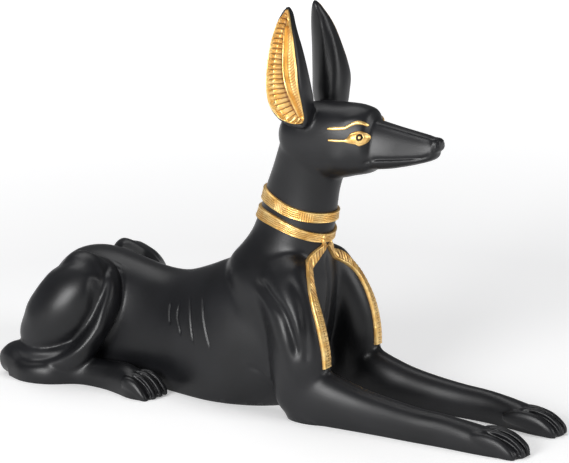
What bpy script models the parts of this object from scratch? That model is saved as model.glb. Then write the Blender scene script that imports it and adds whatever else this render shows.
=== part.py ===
"""A jackal lying with its head up, cast in one piece and painted black and gold.

Built at its real size in metres. +X runs to the nose and the forepaws, +Y to the
animal's left and +Z up. The origin lies on the ground below the middle of the figure,
and the plane Y = 0 is its plane of symmetry.
"""

import math

import bmesh
import bpy
import numpy as np
from mathutils import Matrix, Vector
from mathutils.bvhtree import BVHTree

LENGTH = 0.245  # from the hocks to the tips of the forepaws
BAND_WIDTH = 0.0056  # each of the two collar bands
BAND_RELIEF = 0.0009  # how far a band stands out of the neck
RIBBON_WIDTH = 0.0050
RIBBON_RELIEF = 0.0011
KNOT_WIDTH = 0.0046
EAR_RECESS = 0.0026  # depth of the ear's hollow face
EAR_RIB = 0.0014  # ridge down the middle of that face
RIB_GROOVE = 0.0007
TOE_GROOVE = 0.0013
MUSCLE_CREASE = 0.0011
THIGH_CREASE = 0.0022
MOUTH_GROOVE = 0.0006
EYE_RELIEF = 0.0006
BROW_RELIEF = 0.0007
STRAP_SINK = 0.0020  # how deep the bands and ribbons are rooted in the body

UNIT = LENGTH / 245  # the free form is drawn in shares of the length, 245 to the whole
VOXEL = 1.15 * UNIT
BODY_TRIANGLES = 7800
RING_SIDES = 32
STEPS_BETWEEN = 4
BAND_STEPS = 40
NECK_REACH = 60  # a point this far from the neck's middle is outside it
KNOT_SHAPE = (0.8, 1.0, 1.4)

# Each row is one section: x, y, z of its middle, half its width across the animal,
# half its depth, and how square it is (2 is an ellipse). The forms run on below the
# ground and are cut off flat there.
TRUNK = [
    (-119, 0, 20, 5, 10, 2.0),
    (-114, 0, 22, 13, 17, 2.0),
    (-106, 0, 22.5, 20, 26.0, 2.0),
    (-96, 0, 21.5, 23, 30.9, 2.1),
    (-85, 0, 19, 22, 33.2, 2.2),
    (-74, 0, 17, 21.5, 32.2, 2.2),
    (-62, 0, 15, 21.5, 31.8, 2.2),
    (-50, 0, 14.5, 22, 31.9, 2.3),
    (-38, 0, 16, 23.5, 34.3, 2.3),
    (-24, 0, 18, 25.2, 38.5, 2.3),
    (-10, 0, 22, 24.5, 36.5, 2.2),
    (4, 0, 27, 21, 31, 2.1),
    (14, 0, 30, 15, 26, 2.0),
]
NECK = [
    (2, 0, 18, 15, 14, 2.0),
    (0, 0, 34, 21, 19, 2.0),
    (-2.3, 0, 50, 21.8, 23.0, 2.0),
    (-1.9, 0, 58, 20.1, 23.1, 2.0),
    (0.3, 0, 64, 16.9, 20.8, 2.0),
    (3.1, 0, 70, 14, 18.1, 2.0),
    (5.2, 0, 75, 12.6, 16.7, 2.0),
    (6.9, 0, 82, 11.7, 16.0, 2.0),
    (8.1, 0, 89, 11.3, 15.8, 2.0),
    (10.2, 0, 96, 11.2, 15.6, 2.0),
    (12.5, 0, 104, 11.2, 15, 2.0),
    (14, 0, 112, 10.5, 14, 2.0),
]
HEAD = [
    (0, 0, 111, 6, 6, 2.0),
    (4, 0, 110.5, 10, 10.5, 2.1),
    (10, 0, 110, 12, 14, 2.2),
    (18, 0, 110, 12.6, 15.3, 2.3),
    (27, 0, 110.5, 12.2, 14.9, 2.4),
    (34, 0, 111.6, 11, 13.9, 2.5),
    (39.0, 0, 111.3, 9.8, 12.9, 2.6),
    (43.5, 0, 110.1, 8.6, 9.7, 2.7),
    (50, 0, 110.3, 7.3, 8.6, 2.8),
    (58, 0, 110.6, 6.1, 7.0, 2.8),
    (65, 0, 111.0, 5.1, 5.6, 2.7),
    (69, 0, 111.8, 4.3, 4.3, 2.5),
    (71, 0, 112.4, 3.0, 2.8, 2.2),
]
# The forms below stand on the animal's right side and are mirrored to the left.
UPPER_ARM = [
    (-4, -11, 58, 5, 8, 2.0),
    (4, -14, 53, 8, 11, 2.0),
    (12.8, -17.2, 45.5, 9, 12, 2.0),
    (18, -18.9, 36, 8.8, 12.5, 2.1),
    (20, -19.4, 26, 8.3, 12.5, 2.1),
    (20, -19.8, 16, 7.6, 12.5, 2.1),
    (20, -20.2, 6, 6.5, 11.5, 2.1),
    (20, -20.2, -4, 6, 10.5, 2.1),
]
FORELEG = [
    (5, -16.5, 12, 3.5, 6, 2.0),
    (11, -19.0, 9.5, 5.8, 10, 2.1),
    (20, -20.2, 8.5, 6.8, 13, 2.1),
    (30, -19.4, 8.8, 7.0, 13, 2.2),
    (38, -18.6, 7.0, 6.8, 12.0, 2.2),
    (48, -18.3, 5.6, 6.2, 10.8, 2.2),
    (60, -18.2, 5.0, 5.8, 9.7, 2.2),
    (72, -18.0, 4.4, 5.5, 8.8, 2.2),
    (82, -17.6, 4.2, 5.3, 8.4, 2.2),
    (89, -17.4, 4.0, 5.5, 8.4, 2.2),
    (96, -17.1, 3.3, 6.0, 7.9, 2.2),
    (104, -16.6, 2.9, 6.8, 7.1, 2.2),
    (110.5, -16.0, 2.5, 7.0, 5.9, 2.2),
    (115.2, -15.7, 2.3, 6.1, 4.2, 2.2),
    (119.4, -15.5, 2.2, 3.4, 2.2, 2.0),
]
THIGH = [
    (-83.5, -15.5, 50.5, 2.5, 2.5, 2.0),
    (-85.6, -17.5, 46, 7.5, 8.5, 2.0),
    (-87.6, -20, 39.6, 11, 13.6, 2.0),
    (-91, -22, 35, 12.5, 14.8, 2.0),
    (-94.3, -23.5, 30, 13.5, 15.0, 2.0),
    (-98, -25, 25, 13.5, 14.0, 2.0),
    (-101.6, -25.8, 20.3, 12.5, 12.5, 2.0),
    (-106, -26.5, 14.5, 9.5, 8.5, 2.0),
    (-109, -27, 10.5, 4.5, 4, 2.0),
]
SHANK = [
    (-88, -12, 44.5, 4.5, 6, 2.0),
    (-81.5, -13.5, 44.6, 5.5, 6, 2.0),
    (-75.0, -15.5, 41.5, 5.5, 5.6, 2.0),
    (-73, -19, 34.5, 5.5, 5.2, 2.0),
    (-74.5, -23.3, 27, 5.6, 5.2, 2.0),
    (-78.5, -26.5, 19, 5.8, 5.4, 2.0),
    (-84, -29, 12.5, 6.2, 5.8, 2.0),
    (-93, -31, 8.5, 7.0, 7.0, 2.0),
    (-104, -32, 7.5, 7.6, 8.2, 2.0),
    (-114, -32, 6.6, 6.8, 7.8, 2.0),
    (-120.5, -31.7, 5.0, 3.8, 4.8, 2.0),
]
FLANK_FOLD = [
    (-85, -10, 44, 3, 4, 2.0),
    (-78, -12.5, 43.8, 3.6, 3.6, 2.0),
    (-72, -16.5, 39.5, 3.4, 3.2, 2.0),
    (-69.8, -20, 33, 3.0, 2.6, 2.0),
    (-71.5, -24.5, 26, 2.8, 2.2, 2.0),
    (-76, -27, 18, 2.8, 2.2, 2.0),
    (-80, -28, 12, 2.5, 2, 2.0),
]
HIND_FOOT = [
    (-114, -31.5, 3, 6.0, 7, 2.0),
    (-104, -33.8, 3, 7.9, 9, 2.0),
    (-93, -32.6, 3, 7.4, 8, 2.0),
    (-82, -27.0, 3, 5.6, 7.5, 2.0),
    (-70, -26.4, 3, 5.8, 7.8, 2.0),
    (-60, -28.2, 3, 6.4, 9.3, 2.1),
    (-52, -29.9, 2.5, 7.5, 10.3, 2.2),
    (-46.2, -30.3, 2.0, 7.2, 8.6, 2.2),
    (-42.6, -30.4, 1.5, 4.6, 4.6, 2.0),
]
TAIL = [
    (-108, 0, 38, 6, 6, 2.0),
    (-117, 0, 30, 5.2, 5.2, 2.0),
    (-120.8, 0, 19, 4.6, 4.6, 2.0),
    (-119.0, 0, 9, 4.3, 4.3, 2.0),
    (-112, 0, 3.6, 4.0, 4.0, 2.0),
    (-103, 0, 2.5, 3.4, 3.0, 2.0),
]

# Each row is a level section of the right ear: z, then x and y of its rear rim and of
# its front rim, then how far the back of the ear bulges to the front and inwards.
EAR_FACE_FULLNESS = 0.08  # the outer face bulges this share of what the back does
EAR = [
    (116.0, 12.5, -14.4, 16.5, -14.4, 0.6, 2.0),
    (117.8, 7.4, -15.0, 18.0, -15.2, 1.6, 6.0),
    (121.0, 3.6, -16.0, 19.0, -16.6, 2.6, 9.5),
    (126.0, 1.2, -17.5, 19.2, -18.6, 3.4, 12.0),
    (133.5, 0.8, -18.2, 18.6, -21.0, 3.6, 12.6),
    (144.0, 1.2, -17.3, 16.2, -19.5, 3.0, 10.4),
    (154.0, 3.2, -15.0, 12.8, -17.3, 1.8, 7.6),
    (160.5, 5.4, -12.6, 10.0, -13.7, 0.9, 4.4),
    (163.4, 7.2, -11.0, 8.4, -11.4, 0.2, 1.2),
]

# The broad blending of trunk and neck fades out between each pair of bounds.
BLEND_HEAD = (96, 106)
BLEND_THROAT = (24, 44)
THROAT_LEAN = 0.4  # the throat's bounds lie further back by this share of the height
THROAT_BASE = 70
BLEND_GROUND = (6, 16)
HAUNCH_FRONT = (-66, -55)
HAUNCH_SIDE = (18, 24)
HAUNCH_KEPT = 0.85
BROAD_PASSES = 26
LIGHT_PASSES = 4

# Half the widths of what is carved.
RIB_SPREAD = 0.9
MUSCLE_SPREAD = 2.2
THIGH_SPREAD = 2.0
MOUTH_SPREAD = 0.9
BROW_SPREAD = 1.3
KOHL_SPREAD = 1.1
EAR_RIB_SPREAD = 1.1
TOE_SPREAD = 0.55

# Toes: where the grooves start, the paw's middle line and the pitch across the toes.
FORE_TOES = (104, 15.9, 3.4)
HIND_TOES = (-54, 30.4, 3.6)
TOE_START = (-6, 4)
EAR_RIM = (0.8, 2.6)
EYE_EDGE = (0.7, 1.15)

# Carved lines on the right side, as x and z points seen square from the side.
RIB_LINES = [
    [(-45.5, 40), (-45.5, 30)],
    [(-40.5, 38), (-40.5, 32), (-39, 27)],
    [(-35, 42), (-35, 33), (-33, 24.5)],
    [(-29, 44), (-28, 33), (-24, 23.5)],
]
SHOULDER_LINES = [
    [(-2, 55), (4, 47), (12, 36), (16, 28)],
    [(6, 56), (13, 47), (19, 36)],
    [(-3, 23), (3, 17), (8, 7)],
]
THIGH_LINE = [
    (-90, 53), (-82.5, 51.5), (-77.5, 44), (-75.5, 36), (-77, 29), (-82.5, 21),
    (-90, 14.5), (-99, 11), (-108, 11.5), (-114, 15),
]
MOUTH_LINE = [(68.5, 109.3), (55, 107), (42, 104.6)]
EYE_MIDDLE = (39.2, 114.2)
EYE_HALF = (5.2, 3.0)
KOHL_LINE = [(25, 111.9), (31, 112.2), (36, 112.6)]
BROW_LINE = [(24.6, 116.4), (32.4, 117.8), (36.6, 120.2), (40, 121.0), (43.3, 120.3)]
EAR_RIB_LINE = [(16.5, 118.5), (13.5, 126), (9.5, 136), (8, 146), (7.5, 158)]
RIBBON_PATH = [
    (19.6, -3.4, 67.6), (18.9, -6.8, 63.9), (19.3, -11.2, 58.9), (22.2, -15.5, 53.3),
    (25.9, -18.7, 46.2), (28.9, -20, 37.8), (30.9, -20.2, 29.9), (31.9, -20.2, 22.5),
]
UPPER_BAND = (85.6, 79.6)  # height of its middle at the nape and at the throat
LOWER_BAND = (77.6, 71.6)
BAND_AXIS_X = 7.0


def clear_scene():
    for obj in list(bpy.data.objects):
        bpy.data.objects.remove(obj, do_unlink=True)


def smooth_rows(rows, steps=STEPS_BETWEEN):
    """Rows between the given ones, on one smooth curve through them."""
    rows = np.array(rows, float)
    ends = np.vstack([2 * rows[0] - rows[1], rows, 2 * rows[-1] - rows[-2]])
    made = []
    for i in range(1, len(ends) - 2):
        p, q, r, s = ends[i - 1 : i + 3]
        for t in np.arange(steps) / steps:
            made.append(q + 0.5 * t * (r - p + t * (2 * p - 5 * q + 4 * r - s
                        + t * (3 * (q - r) + s - p))))
    made.append(rows[-1])
    return np.array(made)


def ring(bm, place):
    """A closed loop whose points, given as cosine and sine, are put where place says."""
    made = bmesh.ops.create_circle(bm, segments=RING_SIDES, radius=1)["verts"]
    for vert in made:
        vert.co = Vector(place(vert.co.x, vert.co.y)) * UNIT
    return made


def skin(bm, loops):
    """Bridges the loops one to the next and closes both ends."""
    edges = [list({e for v in loop for e in v.link_edges}) for loop in loops]
    for first, second in zip(edges, edges[1:]):
        bmesh.ops.bridge_loops(bm, edges=first + second)
    for loop in (loops[0], loops[-1]):
        bmesh.ops.contextual_create(bm, geom=list(loop))


def power(value, square):
    return math.copysign(abs(value) ** (2 / square), value)


def loft(bm, rows, axis=None):
    """A closed form through sections square to the axis, or to the path of the rows."""
    rows = smooth_rows(rows)
    tangents = np.gradient(rows[:, :3], axis=0)
    loops = []
    for row, tangent in zip(rows, tangents):
        along = Vector(axis or tangent).normalized()
        across = (Vector((0, 1, 0)) - along * along.y).normalized()
        depth = along.cross(across)
        middle, square = Vector(row[:3]), row[5]
        wide, deep = across * row[3], depth * row[4]
        loops.append(ring(bm, lambda c, s: middle + wide * power(c, square)
                     + deep * power(s, square)))
    skin(bm, loops)


def ear(bm):
    """Flat on its outer face, from rim to rim, and full behind."""
    loops = []
    for z, rx, ry, fx, fy, forward, inward in smooth_rows(EAR):
        rear, front = Vector((rx, ry, z)), Vector((fx, fy, z))
        back = Vector((forward, inward, 0))
        middle, half = (rear + front) / 2, (front - rear) / 2
        loops.append(ring(bm, lambda c, s: middle + half * c
                     + back * (s if s > 0 else EAR_FACE_FULLNESS * s)))
    skin(bm, loops)


def rough_body():
    bm = bmesh.new()
    loft(bm, UPPER_ARM)
    loft(bm, FORELEG, axis=(1, 0, 0))
    loft(bm, THIGH)
    loft(bm, SHANK)
    loft(bm, FLANK_FOLD)
    loft(bm, HIND_FOOT, axis=(1, 0, 0))
    ear(bm)
    bmesh.ops.mirror(bm, geom=bm.verts[:] + bm.edges[:] + bm.faces[:], axis="Y",
                     merge_dist=0)
    loft(bm, TRUNK, axis=(1, 0, 0))
    loft(bm, NECK, axis=(0, 0, 1))
    loft(bm, HEAD, axis=(1, 0, 0))
    loft(bm, TAIL)
    bmesh.ops.recalc_face_normals(bm, faces=bm.faces[:])
    return object_of(bm, "rough_body")


def object_of(bm, name):
    mesh = bpy.data.meshes.new(name)
    bm.to_mesh(mesh)
    bm.free()
    made = bpy.data.objects.new(name, mesh)
    bpy.context.scene.collection.objects.link(made)
    return made


def settle(obj):
    """Turns what the modifiers show into the object's own mesh."""
    graph = bpy.context.evaluated_depsgraph_get()
    mesh = bpy.data.meshes.new_from_object(obj.evaluated_get(graph))
    obj.modifiers.clear()
    old, obj.data = obj.data, mesh
    bpy.data.meshes.remove(old)


def fuse(obj):
    remesh = obj.modifiers.new("Fuse", "REMESH")
    remesh.mode = "VOXEL"
    remesh.voxel_size = VOXEL
    settle(obj)


def coordinates(mesh):
    points = np.empty(len(mesh.vertices) * 3, np.float32)
    mesh.vertices.foreach_get("co", points)
    return points.reshape(-1, 3).astype(float)


def normals_of(mesh):
    found = np.empty(len(mesh.vertices) * 3, np.float32)
    mesh.vertex_normals.foreach_get("vector", found)
    return found.reshape(-1, 3).astype(float)


def ramp(value, low, high):
    t = np.clip((value - low) / (high - low), 0, 1)
    return t * t * (3 - 2 * t)


def relax(obj):
    """Blends the joined forms: broadly on the trunk and neck, lightly on head and feet."""
    x, y, z = (coordinates(obj.data) / UNIT).T
    throat = x + THROAT_LEAN * np.maximum(z - THROAT_BASE, 0)
    trunk = (1 - ramp(z, *BLEND_HEAD)) * (1 - ramp(throat, *BLEND_THROAT))
    haunch = (1 - ramp(x, *HAUNCH_FRONT)) * ramp(abs(y), *HAUNCH_SIDE)
    broad = obj.vertex_groups.new(name="broad")
    weights = trunk * ramp(z, *BLEND_GROUND) * (1 - HAUNCH_KEPT * haunch)
    for level in range(1, 11):
        chosen = np.nonzero(np.round(weights * 10) == level)[0]
        broad.add(chosen.tolist(), level / 10, "REPLACE")
    wide = obj.modifiers.new("Blend", "SMOOTH")
    wide.factor, wide.iterations, wide.vertex_group = 0.5, BROAD_PASSES, "broad"
    light = obj.modifiers.new("Ease", "SMOOTH")
    light.factor, light.iterations = 0.5, LIGHT_PASSES
    settle(obj)


def line_distance(across, up, line):
    """Distance from each point to a broken line, both flat."""
    best = np.full(across.shape, np.inf)
    line = smooth_rows(line) if len(line) > 2 else np.array(line, float)
    for (ax, az), (bx, bz) in zip(line, line[1:]):
        dx, dz = bx - ax, bz - az
        t = np.clip(((across - ax) * dx + (up - az) * dz) / (dx * dx + dz * dz), 0, 1)
        best = np.minimum(best, np.hypot(across - ax - t * dx, up - az - t * dz))
    return best


def carve(obj):
    """Cuts and raises what is carved in the surface, along the surface's own normals."""
    points, normals = coordinates(obj.data), normals_of(obj.data)
    x, y, z = (points / UNIT).T
    side, outward = abs(y), normals[:, 1] * np.sign(y)
    lift = np.zeros(len(x))

    def groove(line, half_width, where):
        return np.exp(-((line_distance(x, z, line) / half_width) ** 2)) * where

    flank = (side > 8) * ramp(outward, 0.1, 0.5) * (z < 70)
    for line in RIB_LINES:
        lift -= RIB_GROOVE * groove(line, RIB_SPREAD, flank)
    for line in SHOULDER_LINES:
        lift -= MUSCLE_CREASE * groove(line, MUSCLE_SPREAD, flank)
    thigh = (side > 20) * ramp(outward, 0.0, 0.4)
    lift -= THIGH_CREASE * groove(THIGH_LINE, THIGH_SPREAD, thigh)

    face = (x > 20) * (z > 96) * (side > 2) * ramp(outward, 0.2, 0.5)
    lift -= MOUTH_GROOVE * groove(MOUTH_LINE, MOUTH_SPREAD, face)
    lift += BROW_RELIEF * groove(BROW_LINE, BROW_SPREAD, face)
    lift += EYE_RELIEF * groove(KOHL_LINE, KOHL_SPREAD, face)
    eye = np.hypot((x - EYE_MIDDLE[0]) / EYE_HALF[0], (z - EYE_MIDDLE[1]) / EYE_HALF[1])
    lift += EYE_RELIEF * face * (1 - ramp(eye, *EYE_EDGE))

    levels = np.array(EAR)
    rear, front = (np.interp(z, levels[:, 0], levels[:, i]) for i in (1, 3))
    inside = np.minimum(x - rear, front - x)
    foot_and_tip = np.minimum(z - levels[0, 0], levels[-1, 0] - z)
    hollow = ramp(np.minimum(inside, 0.6 * foot_and_tip), *EAR_RIM)
    hollow *= (z > levels[0, 0]) * (side > 9) * ramp(outward, 0.2, 0.5)
    lift -= EAR_RECESS * hollow
    lift += EAR_RIB * groove(EAR_RIB_LINE, EAR_RIB_SPREAD, hollow)

    upper = normals[:, 2] > -0.3
    lift -= TOE_GROOVE * toe_gaps(x, side, *FORE_TOES) * upper
    lift -= TOE_GROOVE * toe_gaps(x, side, *HIND_TOES) * upper * (x < 0)
    obj.data.vertices.foreach_set("co", (points + normals * lift[:, None]).ravel())
    obj.data.update()


def toe_gaps(x, side, start, middle, pitch):
    """Three grooves that part four toes, growing deeper to the front."""
    found = np.zeros(len(x))
    for i in (-1, 0, 1):
        found += np.exp(-(((side - middle - i * pitch) / TOE_SPREAD) ** 2))
    return found * ramp(x - start, *TOE_START)


def lighten(obj, triangles):
    obj.data.calc_loop_triangles()
    fewer = obj.modifiers.new("Fewer", "DECIMATE")
    fewer.ratio = triangles / len(obj.data.loop_triangles)
    fewer.use_collapse_triangulate = True
    settle(obj)


def strap(sections, closed, name):
    """A bar with one four-cornered section for each stop, joined end to end."""
    bm = bmesh.new()
    loops = []
    for corners in sections:
        verts = [bm.verts.new(corner) for corner in corners]
        loops.append([bm.edges.new(pair) for pair in zip(verts, verts[1:] + verts[:1])])
    if closed:
        loops.append(loops[0])
    for first, second in zip(loops, loops[1:]):
        bmesh.ops.bridge_loops(bm, edges=first + second)
    bmesh.ops.holes_fill(bm, edges=bm.edges[:])
    bmesh.ops.recalc_face_normals(bm, faces=bm.faces[:])
    return object_of(bm, name)


def band(tree, heights, name):
    """A collar band round the neck, level across and lower at the throat."""
    rear, front = (h * UNIT for h in heights)
    sections = []
    for turn in np.linspace(0, 2 * math.pi, BAND_STEPS, endpoint=False):
        out = Vector((-math.cos(turn), math.sin(turn), 0))
        middle = rear + (front - rear) * (1 - math.cos(turn)) / 2
        corners = []
        for up in (BAND_WIDTH / 2, -BAND_WIDTH / 2):
            axis = Vector((BAND_AXIS_X * UNIT, 0, middle + up))
            hit = tree.ray_cast(axis + out * NECK_REACH * UNIT, -out)[0]
            pair = [hit - out * STRAP_SINK, hit + out * BAND_RELIEF]
            corners += pair if up > 0 else pair[::-1]
        sections.append(corners)
    return strap(sections, True, name)


def ribbon(tree, side, name):
    """A hanging ribbon that lies on the chest and the front of the upper arm."""
    path = smooth_rows(RIBBON_PATH, 3) * UNIT
    path[:, 1] *= -side
    sections = []
    for point, tangent in zip(path, np.gradient(path, axis=0)):
        middle, normal = tree.find_nearest(Vector(point))[:2]
        across = normal.cross(Vector(tangent)).normalized()
        corners = []
        for reach in (RIBBON_WIDTH / 2, -RIBBON_WIDTH / 2):
            edge = tree.find_nearest(middle + across * reach)[0]
            pair = [edge - normal * STRAP_SINK, edge + normal * RIBBON_RELIEF]
            corners += pair if reach > 0 else pair[::-1]
        sections.append(corners)
    return strap(sections, False, name)


def knot(tree):
    front = Vector((NECK_REACH, 0, LOWER_BAND[1])) * UNIT
    seat = tree.ray_cast(front, Vector((-1, 0, 0)))[0]
    bm = bmesh.new()
    shape = Matrix.Diagonal([KNOT_WIDTH * share for share in KNOT_SHAPE] + [1])
    bmesh.ops.create_uvsphere(bm, u_segments=12, v_segments=8, radius=0.5,
                              matrix=Matrix.Translation(seat) @ shape)
    return object_of(bm, "knot")


def join_to(body, piece):
    union = body.modifiers.new(piece.name, "BOOLEAN")
    union.operation = "UNION"
    union.solver = "MANIFOLD"
    union.object = piece
    settle(body)
    bpy.data.objects.remove(piece)


def cut_flat(body):
    """Takes off what lies below the ground, so that the figure stands on a true plane."""
    bm = bmesh.new()
    size = 2 * LENGTH
    bmesh.ops.create_cube(bm, size=1, matrix=Matrix.Translation((0, 0, -size / 2))
                          @ Matrix.Diagonal((size, size, size, 1)))
    block = object_of(bm, "ground_block")
    cut = body.modifiers.new("Ground", "BOOLEAN")
    cut.operation = "DIFFERENCE"
    cut.solver = "EXACT"
    cut.object = block
    settle(body)
    bpy.data.objects.remove(block)


def centre(body):
    """Puts the middle of the figure's length over the origin."""
    along = coordinates(body.data)[:, 0]
    body.data.transform(Matrix.Translation((-(along.min() + along.max()) / 2, 0, 0)))


def paint(obj, name, color, roughness, metallic):
    material = bpy.data.materials.new(name)
    material.use_nodes = True
    shader = material.node_tree.nodes["Principled BSDF"]
    shader.inputs["Base Color"].default_value = (*color, 1)
    shader.inputs["Roughness"].default_value = roughness
    shader.inputs["Metallic"].default_value = metallic
    obj.data.materials.clear()
    obj.data.materials.append(material)


def build():
    clear_scene()
    body = rough_body()
    fuse(body)
    relax(body)
    carve(body)
    lighten(body, BODY_TRIANGLES)
    cut_flat(body)
    bm = bmesh.new()
    bm.from_mesh(body.data)
    tree = BVHTree.FromBMesh(bm)
    bm.free()
    trims = [band(tree, UPPER_BAND, "upper_band"), band(tree, LOWER_BAND, "lower_band"),
             ribbon(tree, 1, "left_ribbon"), ribbon(tree, -1, "right_ribbon"), knot(tree)]
    for trim in trims:
        join_to(body, trim)
    centre(body)
    body.name = body.data.name = "jackal"
    paint(body, "black_satin", (0.012, 0.012, 0.014), 0.42, 0.0)
    figure = bpy.data.collections.new("jackal_figure")
    bpy.context.scene.collection.children.link(figure)
    figure.objects.link(body)
    bpy.context.scene.collection.objects.unlink(body)
    body.data.shade_smooth()


build()
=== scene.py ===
import math

import bmesh
import bpy
import numpy as np
from mathutils import Matrix, Vector
from mathutils.bvhtree import BVHTree


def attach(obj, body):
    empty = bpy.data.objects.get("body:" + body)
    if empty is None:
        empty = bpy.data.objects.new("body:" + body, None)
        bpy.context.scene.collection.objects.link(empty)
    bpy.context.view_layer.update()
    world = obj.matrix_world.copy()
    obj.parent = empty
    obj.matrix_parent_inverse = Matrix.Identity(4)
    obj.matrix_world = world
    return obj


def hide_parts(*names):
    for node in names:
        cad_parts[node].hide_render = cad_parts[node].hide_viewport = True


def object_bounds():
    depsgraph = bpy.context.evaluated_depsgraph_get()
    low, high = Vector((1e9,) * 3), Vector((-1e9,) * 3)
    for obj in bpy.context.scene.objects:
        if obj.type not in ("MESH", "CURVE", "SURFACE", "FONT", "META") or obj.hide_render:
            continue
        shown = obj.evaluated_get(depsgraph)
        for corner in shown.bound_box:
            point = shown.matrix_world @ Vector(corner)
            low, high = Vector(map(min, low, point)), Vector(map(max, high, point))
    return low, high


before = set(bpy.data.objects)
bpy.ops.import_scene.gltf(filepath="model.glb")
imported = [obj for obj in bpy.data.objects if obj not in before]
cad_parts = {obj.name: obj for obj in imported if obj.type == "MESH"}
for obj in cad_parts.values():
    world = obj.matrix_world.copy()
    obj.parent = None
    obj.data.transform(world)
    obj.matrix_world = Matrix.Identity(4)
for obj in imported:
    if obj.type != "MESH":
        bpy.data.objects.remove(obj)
cadBox = [list(corner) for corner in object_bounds()]

mm = 0.001  # sections and lines are in millimetres, +X to the nose, +Y to the left

# The figure itself: closed forms fused by a voxel remesh, eased, then carved.
figure = {
    "voxel": 0.46,
    "ringSides": 44,
    "stepsBetween": 5,
    "broadPasses": 160,
    "armPasses": 420,
    "lightPasses": 20,
    "triangles": 196000,
    "blendHead": (96, 106),  # where the broad easing fades out
    "blendThroat": (24, 44),
    "throatLean": 0.4,
    "throatBase": 70,
    "blendGround": (6, 16),
    "haunchFront": (-66, -55),
    "haunchSide": (9, 14),
    "haunchKept": 0.85,
    "pawKept": 0.75,  # share of the light easing that paws are spared
    "noseKept": 0.2,  # and the nose, as a share of that
    "foreToes": (98, 103),  # bounds along x, y or z between which a mask sets in
    "hindToes": {"from": (-59, -55), "to": (-40, -38), "side": (20, 23), "below": 16},
    "nose": (62, 67),
    "headAbove": 100,
    "arm": {"from": (-16, -7), "to": (11, 18), "side": (12, 16), "foot": (9, 17), "top": (54, 64)},
}

outside = 60  # a ray to the neck starts this far from its axis

# Rows are x, y, z of a section's middle, half width across, half depth, squareness.
trunk = [
    (-119, 0, 20, 5, 10, 2.0), (-114, 0, 22, 13, 17, 2.0), (-106, 0, 22.5, 20, 25.4, 2.0),
    (-96, 0, 21.5, 22.5, 29.8, 2.1), (-85, 0, 19, 20.5, 32.2, 2.1), (-74, 0, 17, 18.5, 32.2, 2.1),
    (-62, 0, 15, 18.3, 31.9, 2.1), (-50, 0, 14.5, 19.7, 32.2, 2.1), (-38, 0, 16, 22.3, 34.6, 2.1),
    (-24, 0, 18, 24.2, 38.5, 2.1), (-10, 0, 22, 23.8, 36.5, 2.1), (4, 0, 27, 21, 31, 2.1),
    (14, 0, 30, 15, 26, 2.0),
]
neck = [
    (2, 0, 18, 15, 14, 2.0), (0, 0, 34, 21, 19, 2.0), (-2.0, 0, 50, 21.8, 22.7, 2.0),
    (-2.0, 0, 58, 19.2, 21.6, 2.1), (0.1, 0, 64, 15.3, 18.8, 2.1), (2.9, 0, 70, 13.7, 17.4, 2.0),
    (4.7, 0, 75, 12.5, 17.1, 2.0), (6.5, 0, 82, 11.7, 16.4, 2.0), (7.9, 0, 89, 11.3, 16.0, 2.0),
    (10.2, 0, 96, 11.2, 15.6, 2.0), (12.5, 0, 104, 11.2, 15.0, 2.0), (14, 0, 112, 10.5, 14, 2.0),
]
# The muzzle's sections are wedges: the last value is how much they narrow to the top.
head = [
    (0, 0, 111, 6, 6, 2.0, 0), (4, 0, 110.5, 10, 10.5, 2.1, 0), (10, 0, 110, 12, 14, 2.2, 0),
    (18, 0, 110, 12.6, 15.3, 2.3, 0), (27, 0, 110.6, 12.2, 15.1, 2.4, 0),
    (34, 0, 111.6, 11, 14.2, 2.4, 0.08), (38.5, 0, 111.8, 9.9, 13.3, 2.4, 0.12),
    (40.6, 0, 111.8, 9.0, 12.5, 2.4, 0.17), (41.7, 0, 111.2, 7.9, 11.0, 2.6, 0.24),
    (43.1, 0, 110.6, 6.9, 9.7, 2.8, 0.30), (50, 0, 110.6, 5.7, 8.6, 2.8, 0.36),
    (58, 0, 111.0, 4.9, 7.0, 2.8, 0.35), (64.5, 0, 111.5, 4.2, 5.5, 2.7, 0.30),
    (68.0, 0, 111.7, 3.6, 4.3, 2.6, 0.24), (69.4, 0, 111.7, 2.8, 3.2, 2.4, 0.2),
]
nosePad = [
    (65.5, 0, 113.0, 2.6, 2.5, 2.4, 0), (68.6, 0, 113.4, 3.4, 2.9, 2.6, 0.1),
    (70.3, 0, 113.5, 3.2, 2.6, 2.6, 0.1), (71.3, 0, 113.4, 2.3, 1.8, 2.4, 0),
]
chin = [
    (56, 0, 105.9, 2.9, 1.8, 2.2, 0), (63, 0, 107.5, 3.1, 1.8, 2.2, 0),
    (67.4, 0, 108.9, 2.7, 1.5, 2.2, 0), (69.6, 0, 109.8, 1.7, 1.0, 2.0, 0),
]
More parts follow.
